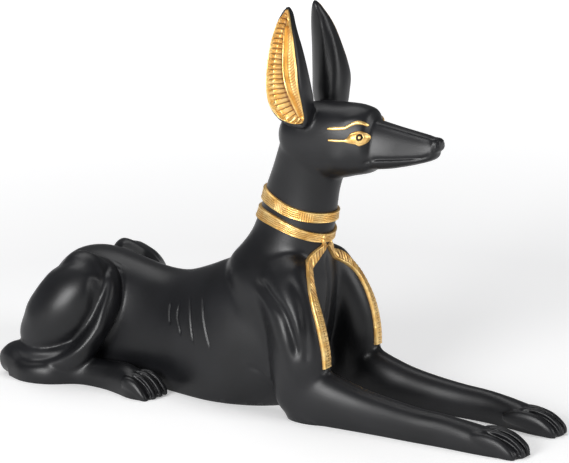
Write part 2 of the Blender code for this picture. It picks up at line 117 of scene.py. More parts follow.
# The forms below stand on the right side and are mirrored to the left.
upperArm = [
    (1.0, -7.2, 63.4, 3.0, 5.6, 2.0), (3.4, -10.8, 58.2, 6.3, 12.0, 2.1),
    (7.0, -14.1, 52.4, 8.5, 14.7, 2.1), (13.3, -17.4, 45.5, 9.2, 12.4, 2.1),
    (17.3, -19.2, 36, 9.2, 12.4, 2.2), (18.9, -19.6, 26, 8.8, 12.9, 2.2),
    (19.4, -19.9, 16, 7.9, 12.3, 2.1), (22.4, -20.2, 6, 6.6, 10.2, 2.1), (27, -20.2, -4, 6, 9.0, 2.1),
]
foreleg = [
    (6, -17.0, 15, 3.2, 4.5, 2.0), (11, -19.4, 12.6, 6.3, 8.8, 2.2), (17, -20.3, 10.6, 6.9, 11.2, 2.2),
    (24, -20.0, 8.8, 6.9, 13.0, 2.1), (30, -19.4, 8.6, 7.0, 12.9, 2.2), (38, -18.6, 6.9, 6.8, 11.9, 2.2),
    (48, -18.3, 5.4, 6.2, 10.6, 2.2), (60, -18.2, 4.7, 5.8, 9.3, 2.2), (72, -18.5, 4.2, 5.3, 8.4, 2.2),
    (82, -18.3, 4.0, 5.0, 8.1, 2.2), (89, -18.0, 3.7, 5.2, 7.7, 2.2), (96, -17.4, 3.0, 5.8, 7.4, 2.2),
    (104, -16.6, 2.2, 6.3, 6.7, 2.2), (110.5, -16.0, 1.8, 6.3, 4.9, 2.2),
    (115.2, -15.7, 1.6, 5.3, 3.2, 2.2), (118.0, -15.5, 1.5, 3.2, 1.6, 2.0),
]
thigh = [
    (-86.8, -14.0, 51.0, 3.5, 5.5, 2.0), (-87.6, -17.2, 47, 8.2, 10.4, 2.0),
    (-88.6, -20.4, 40.4, 11.4, 13.8, 2.0), (-90.8, -22.4, 35, 12.9, 14.5, 2.0),
    (-93.8, -23.8, 30, 13.7, 14.8, 2.0), (-98, -25, 25, 13.5, 14.0, 2.0),
    (-101.6, -25.8, 20.3, 12.5, 12.5, 2.0), (-106.8, -26.5, 14.8, 9.9, 9.2, 2.0),
    (-110, -27, 10.8, 4.8, 4.4, 2.0),
]
shank = [
    (-90, -11, 43.6, 4.2, 5.4, 2.0), (-83.6, -13.2, 44.0, 5.2, 5.6, 2.0),
    (-77.6, -15.7, 40.8, 5.2, 5.2, 2.0), (-75.2, -19.3, 34.2, 5.2, 5.0, 2.0),
    (-76.2, -23.3, 26.8, 5.5, 5.1, 2.0), (-79.4, -26.5, 19, 5.8, 5.3, 2.0),
    (-84, -29, 12.5, 6.2, 5.8, 2.0), (-93, -31, 8.5, 7.0, 7.0, 2.0), (-104, -32, 7.5, 7.6, 8.2, 2.0),
    (-114, -32, 6.2, 6.9, 7.7, 2.0), (-120.5, -31.9, 4.4, 4.2, 4.8, 2.0),
]
flankFold = [
    (-87, -10, 43, 3, 3.6, 2.0), (-81.4, -12.5, 42.6, 3.2, 3.0, 2.0), (-75.6, -16.8, 38.4, 2.9, 2.5, 2.0),
    (-72.8, -20.4, 32.2, 2.6, 2.2, 2.0), (-73.6, -24.3, 25.6, 2.5, 2.0, 2.0),
    (-77, -27, 18, 2.6, 2.1, 2.0), (-80, -28, 12, 2.5, 2, 2.0),
]
# The photo shows the far knee lower than the near one: a shift in mm, set in between the bounds.
farKnee = {"shift": (0.9, 0, -4.4), "y": (5, 12), "z": (20, 40), "x": (-100, -84), "behind": -60}
hindFoot = [
    (-114.6, -32.0, 3, 6.4, 7, 2.0), (-104, -33.9, 3, 8.0, 9, 2.0), (-93, -32.6, 3, 7.4, 8, 2.0),
    (-82, -27.0, 3, 5.6, 7.5, 2.0), (-70, -26.4, 3, 5.8, 7.8, 2.0), (-61, -28.0, 3, 6.4, 8.6, 2.1),
    (-55, -29.6, 2.5, 6.9, 7.9, 2.2), (-50, -30.4, 1.4, 6.6, 6.2, 2.2),
    (-46.4, -30.5, 0.9, 5.4, 3.8, 2.2), (-44.4, -30.6, 0.8, 3.4, 1.8, 2.0),
]
tail = [
    (-108, 0, 38, 6, 6, 2.0), (-117, 0, 30, 5.2, 5.2, 2.0), (-120.8, 0, 19, 4.6, 4.6, 2.0),
    (-119.0, 0, 9, 4.3, 4.3, 2.0), (-112, 0, 3.6, 4.0, 4.0, 2.0), (-103, 0, 2.5, 3.4, 3.0, 2.0),
]
# Level sections of the right ear: z, rear rim x and y, front rim x and y, bulge of the back.
ear = [
    (116.0, 12.5, -14.4, 16.5, -14.4, 0.6, 2.0), (117.8, 8.0, -15.2, 18.2, -14.8, 1.6, 6.0),
    (121.0, 4.4, -16.0, 19.3, -15.6, 2.4, 9.1), (126.0, 2.3, -17.4, 19.2, -17.4, 3.1, 11.0),
    (133.5, 1.7, -17.9, 18.5, -19.3, 3.2, 10.8), (144.0, 1.8, -16.8, 16.0, -17.6, 2.6, 8.1),
    (154.0, 2.9, -14.2, 12.7, -15.2, 1.5, 5.3), (160.5, 4.7, -11.7, 9.7, -12.0, 0.9, 3.4),
    (163.4, 6.5, -10.1, 7.9, -10.3, 0.2, 1.0),
]
earFaceFullness = 0.08

# Toes: one shape, set at four places on each paw (y, shift along, shift up).
foreToes = {
    "rows": [(96, 5.4, 0.9, 1.5), (101, 6.0, 1.7, 3.1), (106, 5.8, 1.9, 3.7), (110, 5.1, 1.9, 3.9),
             (113.4, 4.1, 1.85, 3.8), (116.3, 3.0, 1.7, 3.1), (118.3, 2.2, 1.3, 2.1), (119.2, 1.6, 0.7, 1.1)],
    "places": [(-10.9, -1.9, -0.6), (-14.3, -0.2, 0.1), (-17.7, -0.4, 0.0), (-21.1, -3.1, -1.0)],
    "claw": (119.1, 1.2, 1.6, 0.6),  # x, z, length, half width
}
hindToes = {
    "rows": [(-55, 7.4, 1.2, 2.4), (-52.6, 7.2, 1.7, 3.1), (-50.2, 6.3, 1.85, 3.5),
             (-47.8, 5.0, 1.85, 3.6), (-45.4, 3.4, 1.75, 3.0), (-43.6, 2.1, 1.5, 2.1),
             (-42.7, 1.4, 0.9, 1.2)],
    "places": [(-25.6, 0.7, 0.2), (-29.0, 0.6, 0.2), (-32.4, -0.2, -0.1), (-35.6, -1.9, -1.2)],
    "claw": (-42.5, 1.1, 1.5, 0.6),
}

# Carved lines, as x and z seen square from the side: half width, then lift (down is minus).
carving = {
    "ribs": ([[(-46.6, 37.0), (-45.6, 32.5), (-44.1, 28.5)],
              [(-41.2, 38), (-40.6, 32.4), (-38.3, 28.2), (-37.0, 25)],
              [(-36.4, 41.6), (-33.5, 34.9), (-31.6, 28.9), (-29.6, 23.2)],
              [(-29.5, 43.6), (-27.3, 38.9), (-25.3, 33.5), (-22.8, 27.6), (-20.6, 22.2)]], 0.45, -0.5),
    "shoulderRidge": ([[(-3, 55.5), (3.1, 48.8), (9.2, 43.3), (14.5, 35.9), (18.3, 29.2), (21.0, 22.2),
                        (22.4, 13)]], 4.0, 0.8),
    "shoulderValley": ([[(-2, 55.5), (8.9, 48.9), (15.7, 44.6), (19.7, 38.0), (21.8, 32.3), (23.3, 25)]],
                       1.9, -1.35),
    "secondRidge": ([[(0, 61), (10.8, 54.5), (17.9, 47.6), (22.5, 39.7), (24.0, 30)]], 2.8, 0.55),
    "ribbonValley": ([[(14, 59), (21.4, 50.4), (24.8, 41.6), (26.1, 32.7), (26.8, 23)]], 1.7, -0.7),
    "elbowEdge": ([[(-5, 18.8), (0.6, 16.4), (3.4, 13.1), (6.5, 9.0), (11.5, 4)]], 1.2, -0.45),
    "bandRidge": ([[(-84, 47.6), (-78.2, 45.6), (-74.4, 42.6), (-73.2, 39), (-73.2, 32.4), (-73.6, 24.8),
                    (-76.8, 19.0), (-81.4, 14.2), (-88, 10)]], 1.7, 0.75),
}
thighRim = ([(-105.2, 43.7), (-99.5, 46.8), (-91, 50.8), (-84.9, 50.9), (-80.8, 49.0), (-78.4, 46.2),
             (-77.2, 41.4), (-76.8, 36.4), (-77.5, 29.3), (-80.1, 23.3), (-84.9, 17.4), (-88.8, 13.3),
             (-93.5, 11.0), (-101.9, 9.1), (-108.8, 10.5), (-113, 14.5)], 1.9, -1.0)
face = {
    "mouth": ([(43.4, 105.3), (46, 106.2), (51.5, 106.8), (58, 107.6), (65, 108.5), (68.4, 110.4)],
              0.55, -0.62),
    "mouthCurl": ([(41.2, 103.6), (41.5, 104.6), (43.4, 105.3)], 0.6, -0.45),
    "lowerLip": ([(42.6, 103.8), (46.5, 105.0), (52, 105.6), (59, 106.5), (64, 107.2)], 0.8, 0.28),
    "muzzleEdge": ([(42.2, 119.8), (45.5, 119.0), (51.8, 117.9), (58.7, 116.9), (65.4, 116.0),
                    (69.8, 115.8)], 0.75, 0.34),
    "noseEdge": ([(70.1, 116.2), (69.6, 114.6), (69.0, 112.9), (69.2, 111.0)], 0.5, -0.3),
    "browShelf": ([(30, 119.6), (36.5, 121.8), (41, 121.4)], 1.7, 0.35),
}
cheekBone = ([(24, 104), (30, 104.4), (36, 105.6)], 3.8, 0.55)
nostril = ([(70.9, 115.0), (70.4, 113.9), (70.7, 112.9)], 0.5, -0.3)
# small marks left by the mould: x, y, z, radius, height
marks = [(16.6, 16.1, 65.2, 1.3, 0.7), (32.2, 19.6, 20.4, 1.2, 0.8)]
earHollow = {"depth": 2.6, "rim": (0.7, 2.4), "tipShare": 0.6, "ribHalfWidth": 1.1, "ribHeight": 1.4}
earRibLine = [(16.0, 120.2), (15.2, 123), (13.9, 127.2), (12.2, 132), (10, 139.2), (8.8, 148.2), (7.7, 157)]
earBackLines = [
    ([(10.5, 158), (11.0, 147), (11.6, 136), (12.2, 120)], 2.2, 0.4),
    ([(13.5, 154), (16.4, 140), (17.2, 124)], 1.7, 0.35),
]
forePawGaps = {"y": (12.6, 16.0, 19.4), "start": 100.5, "halfWidth": 0.42, "depth": 1.0}
hindPawGaps = {"y": (27.2, 30.7, 34.0), "start": -54.5, "halfWidth": 0.42, "depth": 1.0}
sternum = {"x": 14, "z": (30, 64), "halfWidth": 0.9, "depth": 0.9}


def smoothRows(rows, steps=None):
    # rows between the given ones, on one smooth curve through them
    steps = steps or figure["stepsBetween"]
    rows = np.array(rows, float)
    ends = np.vstack([2 * rows[0] - rows[1], rows, 2 * rows[-1] - rows[-2]])
    made = []
    for i in range(1, len(ends) - 2):
        p, q, r, s = ends[i - 1:i + 3]
        for t in np.arange(steps) / steps:
            made.append(q + 0.5 * t * (r - p + t * (2 * p - 5 * q + 4 * r - s
                        + t * (3 * (q - r) + s - p))))
    made.append(rows[-1])
    return np.array(made)


def ringAt(bm, place, sides=None):
    made = bmesh.ops.create_circle(bm, segments=sides or figure["ringSides"], radius=1)["verts"]
    for vert in made:
        vert.co = Vector(place(vert.co.x, vert.co.y)) * mm
    return made


def skinLoops(bm, loops):
    edges = [list({edge for vert in loop for edge in vert.link_edges}) for loop in loops]
    for first, second in zip(edges, edges[1:]):
        bmesh.ops.bridge_loops(bm, edges=first + second)
    for loop in (loops[0], loops[-1]):
        bmesh.ops.contextual_create(bm, geom=list(loop))


def power(value, square):
    return math.copysign(abs(value) ** (2 / square), value)


def loft(bm, rows, axis=None, sides=None):
    rows = smoothRows(rows)
    tangents = np.gradient(rows[:, :3], axis=0)
    loops = []
    for row, tangent in zip(rows, tangents):
        along = Vector(axis or tangent).normalized()
        across = (Vector((0, 1, 0)) - along * along.y).normalized()
        depth = along.cross(across)
        middle, square = Vector(row[:3]), row[5]
        narrow = row[6] if len(row) > 6 else 0
        wide, deep = across * row[3], depth * row[4]

        def place(c, s):
            c, s = power(c, square), power(s, square)
            return middle + wide * c * (1 - narrow * s) + deep * s

        loops.append(ringAt(bm, place, sides))
    skinLoops(bm, loops)


def earForm(bm):
    # flat on its outer face, from rim to rim, and full behind
    loops = []
    for z, rx, ry, fx, fy, forward, inward in smoothRows(ear):
        rear, front = Vector((rx, ry, z)), Vector((fx, fy, z))
        back = Vector((forward, inward, 0))
        middle, half = (rear + front) / 2, (front - rear) / 2
        loops.append(ringAt(bm, lambda c, s: middle + half * c
                            + back * (s if s > 0 else earFaceFullness * s)))
    skinLoops(bm, loops)


def paw(bm, toes):
    for y, along, up in toes["places"]:
        rows = [(x + along, y, z + up, wide, deep, 2.0) for x, z, wide, deep in toes["rows"]]
        loft(bm, rows, axis=(1, 0, 0), sides=20)
        x, z, length, wide = toes["claw"]
        claw = bmesh.ops.create_cone(bm, segments=14, radius1=wide * mm, radius2=0.12 * mm,
                                     depth=length * mm, cap_ends=True)["verts"]
        bmesh.ops.rotate(bm, verts=claw, matrix=Matrix.Rotation(math.radians(118), 3, "Y"))
        bmesh.ops.translate(bm, verts=claw, vec=Vector((x + along, y, z + max(up, -0.4))) * mm)


def objectFrom(bm, name):
    mesh = bpy.data.meshes.new(name)
    bm.to_mesh(mesh)
    bm.free()
    made = bpy.data.objects.new(name, mesh)
    bpy.context.scene.collection.objects.link(made)
    return made


def bakeModifiers(obj):
    graph = bpy.context.evaluated_depsgraph_get()
    mesh = bpy.data.meshes.new_from_object(obj.evaluated_get(graph))
    obj.modifiers.clear()
    old, obj.data = obj.data, mesh
    bpy.data.meshes.remove(old)


def coordinates(mesh):
    points = np.empty(len(mesh.vertices) * 3, np.float32)
    mesh.vertices.foreach_get("co", points)
    return points.reshape(-1, 3).astype(float)


def normalsOf(mesh):
    found = np.empty(len(mesh.vertices) * 3, np.float32)
    mesh.vertex_normals.foreach_get("vector", found)
    return found.reshape(-1, 3).astype(float)


def ramp(value, low, high):
    t = np.clip((value - low) / (high - low), 0, 1)
    return t * t * (3 - 2 * t)


def lineDistance(across, up, line):
    # how far each place lies from a line, and at which share of its length
    best, share = np.full(across.shape, np.inf), np.zeros(across.shape)
    line = smoothRows(line) if len(line) > 2 else np.array(line, float)
    sizes = np.hypot(*np.diff(line, axis=0).T)
    done = 0.0
    for (ax, az), (bx, bz), size in zip(line, line[1:], sizes):
        dx, dz = bx - ax, bz - az
        t = np.clip(((across - ax) * dx + (up - az) * dz) / (size * size), 0, 1)
        away = np.hypot(across - ax - t * dx, up - az - t * dz)
        nearer = away < best
        best = np.where(nearer, away, best)
        share = np.where(nearer, (done + t * size) / sizes.sum(), share)
        done += size
    return best, share


def groupOf(obj, name, weights):
    group = obj.vertex_groups.new(name=name)
    for level in range(1, 11):
        chosen = np.nonzero(np.round(weights * 10) == level)[0]
        group.add(chosen.tolist(), level / 10, "REPLACE")
    return name


def roughFigure():
    bm = bmesh.new()
    for rows in (upperArm, thigh, shank, flankFold):
        loft(bm, rows)
    loft(bm, foreleg, axis=(1, 0, 0))
    loft(bm, hindFoot, axis=(1, 0, 0))
    paw(bm, foreToes)
    paw(bm, hindToes)
    earForm(bm)
    bmesh.ops.mirror(bm, geom=bm.verts[:] + bm.edges[:] + bm.faces[:], axis="Y", merge_dist=0)
    for vert in bm.verts:
        x, y, z = vert.co / mm
        if x < farKnee["behind"]:
            share = ramp(y, *farKnee["y"]) * ramp(z, *farKnee["z"]) * ramp(x, *farKnee["x"])
            vert.co += Vector(farKnee["shift"]) * float(share) * mm
    loft(bm, trunk, axis=(1, 0, 0))
    loft(bm, neck, axis=(0, 0, 1))
    loft(bm, head, axis=(1, 0, 0))
    loft(bm, nosePad, axis=(1, 0, 0))
    loft(bm, chin, axis=(1, 0, 0))
    loft(bm, tail)
    bmesh.ops.recalc_face_normals(bm, faces=bm.faces[:])
    return objectFrom(bm, "jackalFigure")


def fuse(obj):
    remesh = obj.modifiers.new("Fuse", "REMESH")
    remesh.mode = "VOXEL"
    remesh.voxel_size = figure["voxel"] * mm
    bakeModifiers(obj)


def ease(obj):
    x, y, z = (coordinates(obj.data) / mm).T
    throat = x + figure["throatLean"] * np.maximum(z - figure["throatBase"], 0)
    body = (1 - ramp(z, *figure["blendHead"])) * (1 - ramp(throat, *figure["blendThroat"]))
    haunch = (1 - ramp(x, *figure["haunchFront"])) * ramp(abs(y), *figure["haunchSide"])
    weights = body * ramp(z, *figure["blendGround"]) * (1 - figure["haunchKept"] * haunch)
    wide = obj.modifiers.new("Blend", "SMOOTH")
    wide.factor, wide.iterations = 0.5, figure["broadPasses"]
    wide.vertex_group = groupOf(obj, "broad", weights)
    foreToe = ramp(x, *figure["foreToes"])
    toes, limb = figure["hindToes"], figure["arm"]
    hindToe = ramp(x, *toes["from"]) * (1 - ramp(x, *toes["to"])) * ramp(abs(y), *toes["side"])
    hindToe = hindToe * (z < toes["below"])
    nose = figure["noseKept"] * ramp(x, *figure["nose"]) * (z > figure["headAbove"])
    fine = np.maximum(np.maximum(foreToe, hindToe), nose)
    arm = ramp(x, *limb["from"]) * (1 - ramp(x, *limb["to"])) * ramp(abs(y), *limb["side"])
    arm = arm * ramp(z, *limb["foot"]) * (1 - ramp(z, *limb["top"]))
    joined = obj.modifiers.new("Join", "SMOOTH")
    joined.factor, joined.iterations = 0.5, figure["armPasses"]
    joined.vertex_group = groupOf(obj, "arm", arm)
    light = obj.modifiers.new("Ease", "SMOOTH")
    light.factor, light.iterations = 0.5, figure["lightPasses"]
    light.vertex_group = groupOf(obj, "light", 1 - figure["pawKept"] * fine)
    bakeModifiers(obj)


def carve(obj):
    points, normals = coordinates(obj.data), normalsOf(obj.data)
    x, y, z = (points / mm).T
    side, outward = abs(y), normals[:, 1] * np.sign(y)
    lift = np.zeros(len(x))

    def stroke(line, halfWidth, height, where, fade=0.18):
        away, share = lineDistance(x, z, line)
        ends = ramp(share, 0, fade) * (1 - ramp(share, 1 - fade, 1))
        return height * np.exp(-((away / halfWidth) ** 2)) * ends * where

    flank = (side > 8) * ramp(outward, 0.1, 0.5) * (z < 70)
    for lines, halfWidth, height in carving.values():
        for line in lines:
            lift += stroke(line, halfWidth, height, flank)
    line, halfWidth, height = thighRim
    lift += stroke(line, halfWidth, height, (side > 10) * (x < -60) * ramp(outward, -0.1, 0.3), 0.08)

    cheek = (x > 20) * (z > 96) * (side > 1.5) * ramp(outward, 0.2, 0.5)
    for name, (line, halfWidth, height) in face.items():
        onTop = name in ("muzzleEdge", "browShelf")
        where = (x > 26) * (z > 96) * ramp(side, 0.6, 2.4) if onTop else cheek
        lift += stroke(line, halfWidth, height, where, 0.4 if name == "browShelf" else 0.1)
    line, halfWidth, height = nostril
    lift += stroke(line, halfWidth, height, (side > 1.0) * (x > 67) * ramp(outward, 0.1, 0.4), 0.1)
    line, halfWidth, height = cheekBone
    lift += stroke(line, halfWidth, height, cheek, 0.45)
    for mx, my, mz, radius, height in marks:
        lift += height * np.exp(-(((x - mx) ** 2 + (side - my) ** 2 + (z - mz) ** 2) / radius ** 2))

    levels = np.array(ear)
    rear, front = (np.interp(z, levels[:, 0], levels[:, i]) for i in (1, 3))
    inside = np.minimum(x - rear, front - x)
    footAndTip = np.minimum(z - levels[0, 0], levels[-1, 0] - z)
    hollow = ramp(np.minimum(inside, earHollow["tipShare"] * footAndTip), *earHollow["rim"])
    earFace = (z > levels[0, 0]) * (side > 9) * ramp(outward, 0.2, 0.5)
    lift -= earHollow["depth"] * hollow * earFace
    lift += stroke(earRibLine, earHollow["ribHalfWidth"], earHollow["ribHeight"], earFace * hollow, 0.02)
    earBack = (z > 121) * ramp(-outward, 0.1, 0.5)
    for line, halfWidth, height in earBackLines:
        lift += stroke(line, halfWidth, height, earBack)

    upper = normals[:, 2] > -0.3
    for gaps in (forePawGaps, hindPawGaps):
        near = ramp(x, gaps["start"], gaps["start"] + 5) * (x < gaps["start"] + 30) * upper
        for middle in gaps["y"]:
            lift -= gaps["depth"] * np.exp(-(((side - middle) / gaps["halfWidth"]) ** 2)) * near

    breast = (x > sternum["x"]) * ramp(z, sternum["z"][0], sternum["z"][0] + 8)
    breast = breast * (1 - ramp(z, sternum["z"][1] - 6, sternum["z"][1]))
    lift -= sternum["depth"] * np.exp(-((y / sternum["halfWidth"]) ** 2)) * breast

    moved = points + normals * (lift * mm)[:, None]
    obj.data.vertices.foreach_set("co", moved.ravel())
    obj.data.update()


def cutFlat(obj):
    # everything below the ground is taken off, and the cut is closed
    bm = bmesh.new()
    bm.from_mesh(obj.data)
    cut = bmesh.ops.bisect_plane(bm, geom=bm.verts[:] + bm.edges[:] + bm.faces[:], dist=1e-7,
                                 plane_co=(0, 0, 0), plane_no=(0, 0, 1), clear_inner=True)
    rims = [item for item in cut["geom_cut"] if isinstance(item, bmesh.types.BMEdge)]
    bmesh.ops.holes_fill(bm, edges=[edge for edge in rims if edge.is_boundary])
    bmesh.ops.triangulate(bm, faces=[f for f in bm.faces if len(f.verts) > 4])
    bm.to_mesh(obj.data)
    bm.free()


def lighten(obj, triangles):
    obj.data.calc_loop_triangles()
    fewer = obj.modifiers.new("Fewer", "DECIMATE")
    fewer.ratio = min(1, triangles / len(obj.data.loop_triangles))
    bakeModifiers(obj)


def treeOf(obj):
    bm = bmesh.new()
    bm.from_mesh(obj.data)
    tree = BVHTree.FromBMesh(bm)
    bm.free()
    return tree


def fromSide(tree, x, z):
    # the right flank's surface at x and z, seen square, or the nearest place to it
    hit, normal = tree.ray_cast(Vector((x, -45, z)) * mm, Vector((0, 1, 0)))[:2]
    if hit is None or hit.y > 0:
        hit, normal = tree.find_nearest(Vector((x, -8, z)) * mm)[:2]
    return hit, normal


def bump(distance, halfWidth):
    return np.exp(-((distance / halfWidth) ** 2))


def layer(name, tree, steps, across, place, wrapped=False, sink=1.2):
    # A grid laid on the figure. place gives, for shares u along and v across, the point on
    # the figure, the way out of it, the height above it, and the wash and ink in the paint.
    # the wash is brown antiquing, and in places painted shade (behind the ear rib, round the eye lines)
    bm = bmesh.new()
    bmesh.ops.create_grid(bm, x_segments=steps, y_segments=across, size=1)
    front = bm.verts.layers.float_vector.new("front")
    washes = bm.verts.layers.float.new("wash")
    inks = bm.verts.layers.float.new("ink")
    low = min(vert.co.x for vert in bm.verts)
    span = max(vert.co.x for vert in bm.verts) - low
    for vert in bm.verts:
        seat, out, height, wash, ink = place((vert.co.x - low) / span, (vert.co.y - low) / span)
        vert.co = seat - out * sink * mm
        vert[front] = seat + out * height * mm
        vert[washes] = wash
        vert[inks] = ink
    if wrapped:
        bmesh.ops.remove_doubles(bm, verts=bm.verts[:], dist=1e-7)
    raised = bmesh.ops.extrude_face_region(bm, geom=bm.faces[:], use_keep_orig=True)["geom"]
    for item in raised:
        if isinstance(item, bmesh.types.BMVert):
            item.co = item[front]
    bm.verts.layers.float_vector.remove(front)
    bmesh.ops.recalc_face_normals(bm, faces=bm.faces[:])
    return objectFrom(bm, name)


def mirrored(obj, name):
    bm = bmesh.new()
    bm.from_mesh(obj.data)
    bmesh.ops.scale(bm, vec=(1, -1, 1), verts=bm.verts[:])
    bmesh.ops.reverse_faces(bm, faces=bm.faces[:])
    return objectFrom(bm, name)


def along(line, share):
    # the point a share of the way along a smooth line, by length
    runs = np.concatenate([[0], np.cumsum(np.linalg.norm(np.diff(line, axis=0), axis=1))])
    return np.array([np.interp(share * runs[-1], runs, line[:, i]) for i in range(line.shape[1])])


# The two collar bands: five fine cords lengthwise, parted by groups of cross strokes.
collar = {
    # heights behind and in front, rise at the sides, half widths, groups of cross strokes
    "upper": {"heights": (86.7, 79.0), "rise": -0.7, "halfWidths": (2.45, 2.05),
              "strokes": ((284, 9), (229, 11), (76, 9), (131, 11))},
    "lower": {"heights": (78.8, 70.3), "rise": 0.8, "halfWidths": (2.25, 1.85), "strokes": ((0, 8),)},
    "axisX": 7.0,
    "relief": 1.1,
    "cords": 4,
    "cordDepth": 0.32,
    "rim": 0.12,
    "strokePitch": 3.8,  # degrees
}


def collarBand(tree, which, name):
    settings = collar[which]

    def place(u, v):
        turn = 2 * math.pi * u
        out = Vector((-math.cos(turn), math.sin(turn), 0))
        forward = (1 - math.cos(turn)) / 2
        v = 2 * v - 1
        rear, front = settings["heights"]
        wideRear, wideFront = settings["halfWidths"]
        half = wideRear + (wideFront - wideRear) * forward ** 3
        level = rear + (front - rear) * forward + settings["rise"] * math.sin(turn) ** 2
        axis = Vector((collar["axisX"], 0, level + v * half)) * mm
        seat = tree.ray_cast(axis + out * outside * mm, -out)[0]
        edge = 1 - abs(v)
        rise = collar["relief"] * min(1, edge / 0.1) ** 0.5
        border = bump(edge - 0.16, 0.12) * (1.0 if v > 0 else 0.6)
        degrees = math.degrees(turn)
        crossed = 0
        for middle, span in settings["strokes"]:
            away = abs((degrees - middle + 180) % 360 - 180)
            crossed = max(crossed, 1 - float(ramp(away, span - 1, span)))
        inner = float(ramp(v, -0.82, -0.72) * (1 - ramp(v, 0.55, 0.68)))
        wave = 0.05 * math.sin(9 * turn) + 0.03 * math.sin(23 * turn)
        cord = abs(math.sin(math.pi * collar["cords"] * (v + wave + 0.78) / 1.4))
        stroke = abs(math.sin(math.pi * (degrees + 1.2 * v) / collar["strokePitch"]))
        cut = (1 - cord ** 0.55) * (1 - crossed) + (1 - stroke ** 0.55) * crossed
        rise += collar["rim"] * border - collar["cordDepth"] * cut * inner
        worn = 0.5 + 0.5 * math.sin(5 * turn + 2 * v) * math.sin(13 * turn)
        wash = inner * (cut * (0.75 + 0.25 * worn) + 0.18 * worn) - 0.3 * border
        return seat, out, rise, max(0, min(1, wash + (1 - min(1, edge / 0.06)) * 0.8)), 0

    return layer(name, tree, 480, 40, place, wrapped=True)


# The ribbons: slanted cuts above, courses of small blocks below, a bright cord outside.
ribbonPath = [
    (20.0, -1.4, 67.4), (19.8, -2.9, 65.9), (19.1, -6.0, 63.9), (18.8, -9.6, 61.5), (20.5, -14.3, 57.6),
    (23.3, -17.6, 52.6), (25.8, -19.2, 47.2), (28.1, -19.9, 41.4), (29.8, -20.1, 34.5),
    (31.1, -19.9, 28.8), (31.8, -19.6, 22.6),
]
ribbon = {
    "halfWidths": ((0, 0.12, 0.24, 0.38, 0.6, 1), (1.5, 2.3, 2.5, 2.15, 2.6, 2.85)),  # shares, values
    "relief": 0.95,
    "slantPitch": 1.6,
    "slant": 1.25,
    "blockPitch": 2.0,
    "change": 0.47,  # share of the length where the cuts give way to the blocks
}


def hangingRibbon(tree, name, borderSide=-1):
    # borderSide is the edge with the bright cord: minus 1 outside, plus 1 inside
    path = smoothRows(ribbonPath, 12)
    length = float(np.linalg.norm(np.diff(path, axis=0), axis=1).sum())
    ways = np.gradient(path, axis=0)

    def place(u, v):
        v = 2 * v - 1  # minus 1 is the outer edge
        half = float(np.interp(u, *ribbon["halfWidths"]))
        point = Vector(along(path, u)) * mm
        way = Vector(along(ways, u)).normalized()
        middle, normal = tree.find_nearest(point)[:2]
        facing = (normal + Vector((0.5, -0.35, 0.2))).normalized()
        across = facing.cross(way).normalized()
        if across.y > 0:
            across = -across
        seat, out = tree.find_nearest(middle - across * v * half * mm)[:2]
        out = (out + facing).normalized()
        edge = 1 - abs(v)
        run = u * length
        rise = ribbon["relief"] * min(1, edge / 0.16) ** 0.5
        fromBorder = 1 + v * borderSide * -1  # 0 at the edge with the cord, 2 at the other
        cordHere = bump(fromBorder - 0.2, 0.18)
        inner = float(ramp(fromBorder, 0.38, 0.5) * (1 - ramp(fromBorder, 1.8, 1.95)))
        slanted = abs(math.sin(math.pi * (run - ribbon["slant"] * v) / ribbon["slantPitch"])) ** 0.55
        phase = run / ribbon["blockPitch"]
        row = abs(math.sin(math.pi * phase)) ** 0.35
        dots = bump(fromBorder - 1.05, 0.16) * float(ramp(math.cos(4 * math.pi * phase), 0.1, 0.7))
        lower = float(ramp(u, ribbon["change"] - 0.04, ribbon["change"] + 0.04))
        cut = (1 - slanted) * (1 - lower) + max(0.55 * (1 - row), 0.95 * dots) * lower
        rise += 0.28 * cordHere - (0.45 - 0.2 * lower) * cut * inner
        uneven = 0.5 + 0.5 * math.sin(1.3 * run + 2.0 * math.sin(0.37 * run))
        wash = inner * (cut * 0.95 + (0.42 - 0.34 * lower) * uneven) - 0.3 * cordHere
        wash += 0.45 * lower * float(ramp(fromBorder, 1.6, 1.9))
        wash += (1 - min(1, edge / 0.1)) * 0.7
        return seat, out, rise, max(0, min(1, wash)), 0

    return layer(name, tree, 320, 32, place)


def hangingRibbons(tree):
    right = hangingRibbon(tree, "rightRibbon")
    far = hangingRibbon(tree, "rightRibbonTurned", 1)
    left = mirrored(far, "leftRibbon")
    bpy.data.objects.remove(far)
    return [right, left]


# The knot: a small upright bead on the lower band, pinched and cut across.
knot = {"turn": 198, "height": 70.1, "size": (2.2, 2.0, 4.6), "sink": 0.1, "cuts": 3}


def tiedKnot(tree):
    turn = math.radians(knot["turn"])
    out = Vector((-math.cos(turn), math.sin(turn), 0))
    axis = Vector((collar["axisX"], 0, knot["height"])) * mm
    seat = tree.ray_cast(axis + out * outside * mm, -out)[0]
    seat += out * (collar["relief"] - knot["sink"]) * mm
    bm = bmesh.new()
    bmesh.ops.create_uvsphere(bm, u_segments=56, v_segments=40, radius=0.5)
    washes = bm.verts.layers.float.new("wash")
    bm.verts.layers.float.new("ink")
    for vert in bm.verts:
        x, y, z = vert.co * 2
        waist = 1 - 0.3 * math.exp(-(((z - 0.05) / 0.24) ** 2))
        groove = 1 - abs(math.sin(math.pi * knot["cuts"] * (z + 0.5 * y) / 2)) ** 0.5
        vert[washes] = max(0, min(1, groove * 0.8 + 1 - waist - 0.1))
        shrink = waist * (1 - 0.08 * groove)
        wide, tall = (0.5 * size * mm for size in (knot["size"][1], knot["size"][2]))
        vert.co = Vector((x * shrink * knot["size"][0] * mm / 2, y * shrink * wide, z * tall))
    bmesh.ops.rotate(bm, verts=bm.verts[:], matrix=Matrix.Rotation(math.atan2(out.y, out.x), 3, "Z"))
    bmesh.ops.translate(bm, verts=bm.verts[:], vec=seat)
    return objectFrom(bm, "collarKnot")


